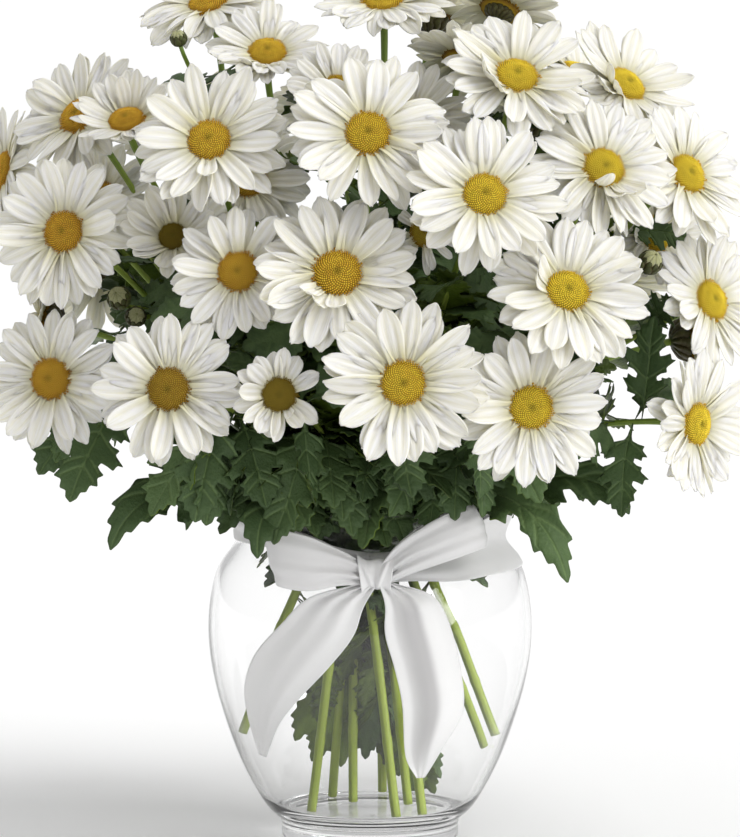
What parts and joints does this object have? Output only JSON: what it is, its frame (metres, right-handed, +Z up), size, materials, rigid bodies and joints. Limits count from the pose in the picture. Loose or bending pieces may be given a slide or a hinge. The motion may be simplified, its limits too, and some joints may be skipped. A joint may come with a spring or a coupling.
{
  "type": "white daisy chrysanthemums in a glass vase",
  "caption": "Dome of white daisy-type spray chrysanthemums and lobed leaves in a clear glass ginger-jar vase, with a white satin ribbon bow tied round its neck.",
  "frame": {"origin": "centre of the underside of the vase's foot", "axes": "+Z up along the vase's axis; -Y towards the front, where the bow is; +X to the right seen from the front"},
  "size_m": [0.3681, 0.3307, 0.4105],
  "materials": {
    "glass": "clear blown glass, polished, with a fire-rounded rim",
    "satin": "white satin ribbon, soft sheen",
    "stem": "fresh yellow-green stem, finely ridged",
    "leaf": "fresh dark green leaf, slightly glossy, paler veins",
    "petal": "white petal with soft sheen, cream and grey-green at its root",
    "disc": "packed yellow florets, ochre at the edge, greenish in the middle"
  },
  "bodies": {
    "root": {"vase": "glass", "ribbon_band": "satin", "ribbon_bow": "satin", "stem_01": "stem", "stem_02": "stem", "stem_03": "stem", "stem_04": "stem", "stem_05": "stem", "stem_06": "stem", "stem_07": "stem", "stem_08": "stem", "stem_09": "stem", "stem_10": "stem", "daisy_01": "petal", "daisy_02": "petal", "daisy_03": "petal", "daisy_04": "petal", "daisy_05": "petal", "daisy_06": "petal", "daisy_07": "petal", "daisy_08": "petal", "daisy_09": "petal", "daisy_10": "petal", "daisy_11": "petal", "daisy_12": "petal", "daisy_13": "petal", "daisy_14": "petal", "daisy_15": "petal", "daisy_16": "petal", "daisy_17": "petal", "daisy_18": "petal", "daisy_19": "petal", "daisy_20": "petal", "daisy_21": "petal", "daisy_22": "petal", "daisy_23": "petal", "daisy_24": "petal", "daisy_25": "petal", "daisy_26": "petal", "daisy_27": "petal", "daisy_28": "petal", "daisy_29": "petal", "daisy_30": "petal", "daisy_31": "petal", "daisy_32": "petal", "daisy_33": "petal", "daisy_34": "petal", "daisy_35": "petal", "daisy_36": "petal", "daisy_37": "petal", "daisy_38": "petal", "daisy_39": "petal", "daisy_40": "petal", "daisy_41": "petal", "leaf_1": "leaf", "leaf_2": "leaf", "leaf_3": "leaf", "leaf_4": "leaf", "leaf_5": "leaf", "leaf_6": "leaf"}
  },
  "joints": []
}
